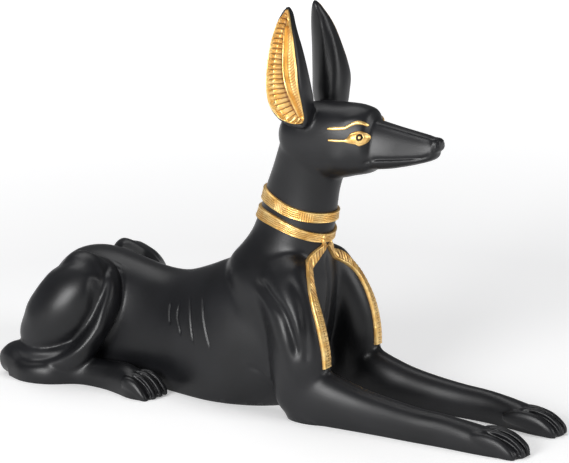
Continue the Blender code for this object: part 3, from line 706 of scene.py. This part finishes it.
# Ear linings: plumes ruled from the rear rim to the rib, fine strokes on to the front rim.
lining = {
    # x and z of the rear rim, of the rib and of the front rim, from the tip down
    "rulings": [
        (7.4, 162.3, 7.7, 162.2, 7.9, 162.3), (6.3, 160.9, 7.6, 160.1, 8.9, 161.0),
        (4.9, 158.4, 7.5, 157.2, 10.2, 158.6), (3.9, 155.2, 8.1, 154.4, 11.6, 155.7),
        (3.2, 151.8, 8.5, 151.3, 13.0, 152.4), (2.8, 148.5, 8.8, 148.2, 14.1, 149.1),
        (2.5, 143.6, 9.2, 143.6, 15.3, 144.9), (2.3, 138.4, 10.0, 139.2, 16.6, 140.3),
        (2.3, 133.9, 11.1, 135.2, 17.5, 135.6), (2.5, 129.9, 12.2, 132.0, 18.1, 132.1),
        (3.0, 126.2, 13.1, 129.5, 18.4, 129.1), (4.2, 123.1, 13.9, 127.2, 18.5, 126.5),
        (6.2, 120.4, 14.6, 125.0, 18.5, 124.4), (9.2, 118.6, 15.2, 123.0, 18.5, 122.7),
        (12.7, 118.1, 15.6, 121.4, 18.4, 121.4), (15.7, 118.4, 16.0, 120.2, 18.3, 120.5),
        (17.2, 119.0, 17.0, 119.7, 18.0, 119.9),
    ],
    "ribShare": 0.6,
    "relief": 0.2,
    "bead": 0.4,
    "plumes": 25,
    "plumeRound": 0.3,
    "plumeDepth": 0.25,
    "frontSlant": 0.25,
    "ribRise": 0.6,
}


def earLining(tree, name):
    rulings = smoothRows(lining["rulings"], 8)
    split = lining["ribShare"]

    def place(u, v):
        rearX, rearZ, ribX, ribZ, frontX, frontZ = along(rulings, u)
        if v < split:
            share = v / split
            x, z = rearX + (ribX - rearX) * share, rearZ + (ribZ - rearZ) * share
        else:
            share = (v - split) / (1 - split)
            x, z = ribX + (frontX - ribX) * share, ribZ + (frontZ - ribZ) * share
        hit, normal = fromSide(tree, x, z)
        rearBead, frontBead = bump(v - 0.035, 0.03), bump(v - 0.97, 0.025)
        offLobe = 2 * abs(lining["plumes"] * u % 1 - 0.5)  # 1 between two plumes
        groove = bump(1 - offLobe, 0.2)
        finePhase = 1.6 * lining["plumes"] * (u + lining["frontSlant"] * (v - split))
        fineStroke = bump(1 - 2 * abs(finePhase % 1 - 0.5), 0.3)
        rearPart = float(ramp(v, 0.05, 0.1) * (1 - ramp(v, 0.46, 0.54)))
        frontPart = float(ramp(v, 0.67, 0.73) * (1 - ramp(v, 0.9, 0.95)))
        ridge = bump(v - split, 0.06) * float(ramp(u, 0.02, 0.1))
        # painted shade: a brown line along the rear side of the rib, where shade falls
        shade = bump(v - split + 0.105, 0.05) * float(ramp(u, 0.02, 0.1))
        rise = lining["relief"] + lining["bead"] * (rearBead + frontBead) + lining["ribRise"] * ridge
        rise += rearPart * (lining["plumeRound"] * (1 - offLobe ** 2) - lining["plumeDepth"] * groove)
        rise -= 0.15 * frontPart * fineStroke
        high = 1 - float(ramp(u, 0, 0.35))
        # in the rear part the wash also grows from the rim toward the rib: painted highlight by the rim,
        # painted shade by the rib
        wash = rearPart * (0.06 + 0.8 * groove + 0.3 * float(ramp(v, 0.2, 0.5)) + 0.22 * high)
        wash += 0.65 * shade + frontPart * (0.34 + 0.4 * fineStroke) - 0.3 * (rearBead + frontBead + ridge)
        return hit, Vector((0, -1, 0)), rise, max(0, min(1, wash)), 0

    return layer(name, tree, 420, 72, place)


# Painted lines of the face: points x, z and half width, seen square from the side.
eyeLine = {
    "points": [(26.9, 112.7, 0.42), (30.3, 112.7, 0.5), (33.2, 112.9, 0.5), (34.6, 113.1, 0.9),
               (36.0, 113.7, 1.8), (37.6, 114.0, 2.6), (39.4, 114.1, 2.95), (41.0, 114.2, 2.4),
               (42.1, 114.3, 1.5), (42.9, 114.3, 0.25)],
    "pupil": (39.5, 114.6),
    "ring": (0.5, 1.1),  # inner and outer radius of the dark ring
    "ringHeight": 1.2,
    "relief": 0.4,
    "bulge": 0.5,
}
browLine = {
    "points": [(26.2, 117.0, 0.36), (29.0, 117.3, 0.62), (33.2, 117.8, 0.6), (35.1, 118.9, 0.62),
               (36.5, 119.7, 0.68), (38.0, 120.1, 0.7), (39.9, 119.9, 0.6), (41.0, 119.3, 0.46),
               (41.6, 118.7, 0.25)],
    "relief": 0.5,
}


def faceStrip(tree, name, points, steps, across, shape):
    line = smoothRows(points, 10)
    ways = np.gradient(line[:, :2], axis=0)

    def place(u, v):
        v = 2 * v - 1
        x, z, half = along(line, u)
        wayX, wayZ = along(ways, u)
        size = math.hypot(wayX, wayZ)
        x, z = x - wayZ / size * v * half, z + wayX / size * v * half
        hit, normal = fromSide(tree, x, z)
        rise, wash, ink = shape(u, v, x, z, half)
        return hit, normal, rise, wash, ink

    return layer(name, tree, steps, across, place, sink=0.8)


def eyePiece(tree, name):
    px, pz = eyeLine["pupil"]
    inner, outer = eyeLine["ring"]

    def shape(u, v, x, z, half):
        fromPupil = math.hypot(x - px, (z - pz) / eyeLine["ringHeight"])
        edge = (1 - v * v) * min(1, u / 0.02, (1 - u) / 0.02)
        full = float(ramp(half, 0.7, 2.4))
        rise = eyeLine["relief"] * edge ** 0.5 + eyeLine["bulge"] * full * (1 - v * v)
        ring = float(ramp(fromPupil, inner - 0.14, inner + 0.06))
        ring *= 1 - float(ramp(fromPupil, outer - 0.06, outer + 0.14))
        lid = bump(abs(v) - 0.84, 0.07) * full
        rise += 0.14 * lid - 0.22 * ring
        speckle = 0.5 + 0.5 * math.sin(5.1 * x + 2.3 * math.sin(6.2 * z)) * math.sin(4.7 * z)
        wash = full * (0.28 * speckle * (1 - lid) + 0.45 * bump(abs(v) - 0.7, 0.06))
        # the edges of the raised line are browned all round: partly a dark outline, partly painted shadow of
        # the raised paint
        wash += 0.9 * (1 - min(1, edge / 0.16))
        return rise, min(1, wash), ring

    return faceStrip(tree, name, eyeLine["points"], 190, 44, shape)


def browPiece(tree, name):
    def shape(u, v, x, z, half):
        edge = (1 - v * v) * min(1, u / 0.02, (1 - u) / 0.02)
        return browLine["relief"] * edge ** 0.5, 0.9 * (1 - min(1, edge / 0.3)), 0

    return faceStrip(tree, name, browLine["points"], 150, 14, shape)


def socket(group, name, kind, way, value=None):
    made = group.interface.new_socket(name=name, in_out=way, socket_type=kind)
    if value is not None:
        made.default_value = value
    return made


def castSurface():
    # broad tone, fine grain and pinholes of a painted casting, for both paints
    group = bpy.data.node_groups.new("castSurface", "ShaderNodeTree")
    socket(group, "Broad Size", "NodeSocketFloat", "INPUT", 60.0)
    socket(group, "Grain Size", "NodeSocketFloat", "INPUT", 1400.0)
    socket(group, "Pin Size", "NodeSocketFloat", "INPUT", 220.0)
    socket(group, "Tone", "NodeSocketFloat", "OUTPUT")
    socket(group, "Height", "NodeSocketFloat", "OUTPUT")
    nodes, links = group.nodes, group.links
    entry = nodes.new("NodeGroupInput")
    leave = nodes.new("NodeGroupOutput")
    coords = nodes.new("ShaderNodeTexCoord")
    broad = nodes.new("ShaderNodeTexNoise")
    broad.inputs["Detail"].default_value = 4
    grain = nodes.new("ShaderNodeTexNoise")
    grain.inputs["Detail"].default_value = 3
    pins = nodes.new("ShaderNodeTexVoronoi")
    for texture, size in ((broad, "Broad Size"), (grain, "Grain Size"), (pins, "Pin Size")):
        links.new(coords.outputs["Object"], texture.inputs["Vector"])
        links.new(entry.outputs[size], texture.inputs["Scale"])
    hole = nodes.new("ShaderNodeMapRange")
    hole.inputs["From Min"].default_value = 0.02
    hole.inputs["From Max"].default_value = 0.08
    hole.inputs["To Min"].default_value = -1.0
    hole.inputs["To Max"].default_value = 0.0
    links.new(pins.outputs["Distance"], hole.inputs["Value"])
    total = nodes.new("ShaderNodeMath")
    total.operation = "ADD"
    links.new(grain.outputs["Fac"], total.inputs[0])
    links.new(hole.outputs["Result"], total.inputs[1])
    links.new(broad.outputs["Fac"], leave.inputs["Tone"])
    links.new(total.outputs[0], leave.inputs["Height"])
    return group


def paintMaterial(name, group, sizes, bumpStrength):
    material = bpy.data.materials.new(name)
    material.use_nodes = True
    nodes, links = material.node_tree.nodes, material.node_tree.links
    shader = nodes["Principled BSDF"]
    surface = nodes.new("ShaderNodeGroup")
    surface.node_tree = group
    for socketName, value in sizes.items():
        surface.inputs[socketName].default_value = value
    relief = nodes.new("ShaderNodeBump")
    relief.inputs["Strength"].default_value = bumpStrength
    relief.inputs["Distance"].default_value = 0.0002
    links.new(surface.outputs["Height"], relief.inputs["Height"])
    links.new(relief.outputs["Normal"], shader.inputs["Normal"])
    return material, nodes, links, shader, surface


def blended(nodes, links, factor, first, second):
    mix = nodes.new("ShaderNodeMix")
    mix.data_type = "RGBA"
    links.new(factor, mix.inputs["Factor"])
    for value, place in ((first, mix.inputs["A"]), (second, mix.inputs["B"])):
        if isinstance(value, tuple):
            place.default_value = (*value, 1)
        else:
            links.new(value, place)
    return mix.outputs["Result"]


def spread(nodes, links, value, fromLow, fromHigh, toLow, toHigh):
    mapped = nodes.new("ShaderNodeMapRange")
    bounds = {"From Min": fromLow, "From Max": fromHigh, "To Min": toLow, "To Max": toHigh}
    for key, number in bounds.items():
        mapped.inputs[key].default_value = number
    links.new(value, mapped.inputs["Value"])
    return mapped.outputs["Result"]


def attributeOf(nodes, name):
    reader = nodes.new("ShaderNodeAttribute")
    reader.attribute_name = name
    return reader.outputs["Fac"]


# The worn grey is a painted highlight: sharp convex edges are made paler, as if catching the light.
blackPaint = {
    "dark": (0.0042, 0.0044, 0.0052), "light": (0.0078, 0.0080, 0.0096), "worn": (0.024, 0.024, 0.028),
    "sizes": {"Broad Size": 45.0, "Grain Size": 1500.0, "Pin Size": 170.0},
    "roughness": (0.34, 0.42), "bump": 0.10,
}


def blackSatin(group):
    material, nodes, links, shader, surface = paintMaterial(
        "blackSatin", group, blackPaint["sizes"], blackPaint["bump"])
    tone = spread(nodes, links, surface.outputs["Tone"], 0.35, 0.65, 0, 1)
    color = blended(nodes, links, tone, blackPaint["dark"], blackPaint["light"])
    # painted highlight: the black is blended toward the paler grey on sharp convex edges
    worn = attributeOf(nodes, "edgeSheen")
    color = blended(nodes, links, worn, color, blackPaint["worn"])
    links.new(color, shader.inputs["Base Color"])
    links.new(spread(nodes, links, surface.outputs["Tone"], 0.3, 0.7, *blackPaint["roughness"]),
              shader.inputs["Roughness"])
    shader.inputs["Specular IOR Level"].default_value = 0.36
    return material


goldPaint = {
    "bright": (0.93, 0.66, 0.27), "warm": (0.74, 0.42, 0.11), "brown": (0.20, 0.075, 0.018),
    "ink": (0.012, 0.008, 0.006),
    "sizes": {"Broad Size": 230.0, "Grain Size": 2600.0, "Pin Size": 900.0},
    "roughness": (0.30, 0.62), "metal": (0.82, 0.25), "bump": 0.14,
}


def antiqueGold(group):
    material, nodes, links, shader, surface = paintMaterial(
        "antiqueGold", group, goldPaint["sizes"], goldPaint["bump"])
    # wash browns the gold: the paint's antiquing in grooves, and in places painted shade (behind the ear rib,
    # round the eye lines)
    wash = attributeOf(nodes, "wash")
    ink = attributeOf(nodes, "ink")
    tone = spread(nodes, links, surface.outputs["Tone"], 0.36, 0.66, 0, 1)
    raised = blended(nodes, links, tone, goldPaint["bright"], goldPaint["warm"])
    stained = blended(nodes, links, wash, raised, goldPaint["brown"])
    links.new(blended(nodes, links, ink, stained, goldPaint["ink"]), shader.inputs["Base Color"])
    links.new(spread(nodes, links, wash, 0, 1, *goldPaint["metal"]), shader.inputs["Metallic"])
    links.new(spread(nodes, links, wash, 0, 1, *goldPaint["roughness"]), shader.inputs["Roughness"])
    return material


def edgeSheenOf(obj):
    # how sharply each point of the surface stands out, smoothed and scaled to 0..1: the mask for a painted
    # highlight on sharp edges
    mesh = obj.data
    points, normals = coordinates(mesh), normalsOf(mesh)
    ends = np.empty(len(mesh.edges) * 2, np.int32)
    mesh.edges.foreach_get("vertices", ends)
    ends = ends.reshape(-1, 2)
    count = np.bincount(ends.ravel(), minlength=len(points))
    around = np.zeros_like(points)
    for a, b in ((0, 1), (1, 0)):
        np.add.at(around, ends[:, a], points[ends[:, b]])
    offset = points - around / np.maximum(count, 1)[:, None]
    size = np.bincount(ends.ravel(), weights=np.repeat(
        np.linalg.norm(points[ends[:, 0]] - points[ends[:, 1]], axis=1), 2), minlength=len(points))
    size = size / np.maximum(count, 1)
    sharp = (offset * normals).sum(1) / np.maximum(size, 1e-9) ** 2 * mm
    for _ in range(3):
        total = np.bincount(ends[:, 0], weights=sharp[ends[:, 1]], minlength=len(points))
        total += np.bincount(ends[:, 1], weights=sharp[ends[:, 0]], minlength=len(points))
        sharp = 0.5 * sharp + 0.5 * total / np.maximum(count, 1)
    edgeSheen = ramp(sharp, 0.25, 0.9)
    made = mesh.attributes.new("edgeSheen", "FLOAT", "POINT")
    made.data.foreach_set("value", edgeSheen.astype(np.float32))


def finish(obj, material, shift):
    obj.data.transform(Matrix.Translation((shift, 0, 0)))
    obj.data.materials.clear()
    obj.data.materials.append(material)
    obj.data.shade_smooth()
    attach(obj, "root")


def buildFigure():
    body = roughFigure()
    fuse(body)
    ease(body)
    carve(body)
    cutFlat(body)
    lighten(body, figure["triangles"])
    print("figure:", len(body.data.polygons), "faces")
    return body


studio = {
    "floorHalf": 3.0,
    "floorColor": (0.86, 0.86, 0.86),
    "worldColor": (0.96, 0.97, 1.0),
    "worldStrength": 0.19,
    "floorGlow": (0.27, 1.1),  # below the figure and far from it
    "glowReach": (0.25, 1.3),  # metres
    # place, aim, width, height, power
    "boxes": {
        "keyBox": ((-0.02, -1.12, 0.39), (0, 0, 0.06), 0.52, 0.4, 12.0),
        "topBox": ((-0.45, 0.15, 1.2), (0, 0, 0.05), 0.9, 0.7, 5.0),
        "frontBox": ((1.05, 0.10, 0.50), (0, 0, 0.06), 0.6, 0.5, 5.0),
    },
}
photoCamera = {
    "place": (0.5462, -0.8587, 0.3235),  # before the figure is centred on its length
    "azimuth": 32.5, "elevation": 14.0, "focal": 2600, "imageWidth": 569, "sensor": 36,
}


def material(name, color, roughness):
    made = bpy.data.materials.new(name)
    made.use_nodes = True
    shader = made.node_tree.nodes["Principled BSDF"]
    shader.inputs["Base Color"].default_value = (*color, 1)
    shader.inputs["Roughness"].default_value = roughness
    return made


def buildStudio(shift):
    bm = bmesh.new()
    bmesh.ops.create_grid(bm, x_segments=1, y_segments=1, size=studio["floorHalf"])
    floor = objectFrom(bm, "paleFloor")
    pale = material("paleFloor", studio["floorColor"], 0.9)
    nodes, links = pale.node_tree.nodes, pale.node_tree.links
    glow = nodes["Principled BSDF"].inputs
    glow["Emission Color"].default_value = (1, 1, 1, 1)
    coords = nodes.new("ShaderNodeTexCoord")
    away = nodes.new("ShaderNodeVectorMath")
    away.operation = "LENGTH"
    links.new(coords.outputs["Object"], away.inputs[0])
    links.new(spread(nodes, links, away.outputs["Value"], *studio["glowReach"], *studio["floorGlow"]),
              glow["Emission Strength"])
    floor.data.materials.append(pale)
    world = bpy.data.worlds.new("studioWorld")
    world.use_nodes = True
    back = world.node_tree.nodes["Background"]
    back.inputs["Color"].default_value = (*studio["worldColor"], 1)
    back.inputs["Strength"].default_value = studio["worldStrength"]
    bpy.context.scene.world = world
    for name, (place, aim, width, height, power) in studio["boxes"].items():
        light = bpy.data.lights.new(name, "AREA")
        light.shape = "RECTANGLE"
        light.size, light.size_y, light.energy = width, height, power
        lamp = bpy.data.objects.new(name, light)
        lamp.location = place
        lamp.rotation_euler = (Vector(aim) - Vector(place)).to_track_quat("-Z", "Y").to_euler()
        bpy.context.scene.collection.objects.link(lamp)
    turn, tilt = math.radians(photoCamera["azimuth"]), math.radians(photoCamera["elevation"])
    look = Vector((-math.sin(turn) * math.cos(tilt), math.cos(turn) * math.cos(tilt), -math.sin(tilt)))
    data = bpy.data.cameras.new("photoCamera")
    data.sensor_width = photoCamera["sensor"]
    data.lens = photoCamera["focal"] / photoCamera["imageWidth"] * photoCamera["sensor"]
    camera = bpy.data.objects.new("photoCamera", data)
    camera.location = Vector(photoCamera["place"]) + Vector((shift, 0, 0))
    camera.rotation_euler = look.to_track_quat("-Z", "Y").to_euler()
    bpy.context.scene.collection.objects.link(camera)
    bpy.context.scene.camera = camera
    bpy.context.scene.view_settings.view_transform = "Standard"


body = buildFigure()
tree = treeOf(body)
trims = [
    collarBand(tree, "upper", "upperCollarBand"),
    collarBand(tree, "lower", "lowerCollarBand"),
    tiedKnot(tree),
]
print("collar made")
trims += hangingRibbons(tree)
print("ribbons made")
for make, name in ((earLining, "EarLining"), (eyePiece, "Eye"), (browPiece, "Brow")):
    right = make(tree, "right" + name)
    trims += [right, mirrored(right, "left" + name)]
    print(name, "made:", len(right.data.polygons), "faces")

lengthwise = coordinates(body.data)[:, 0]
cadMiddle = (cadBox[0][0] + cadBox[1][0]) / 2
shift = float(cadMiddle - (lengthwise.min() + lengthwise.max()) / 2)
print("shift", round(shift, 5))
edgeSheenOf(body)
surfaceGroup = castSurface()
black, gold = blackSatin(surfaceGroup), antiqueGold(surfaceGroup)
finish(body, black, shift)
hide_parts("jackal")
for trim in trims:
    finish(trim, gold, shift)
print("painted")
buildStudio(shift)
print("studio made")
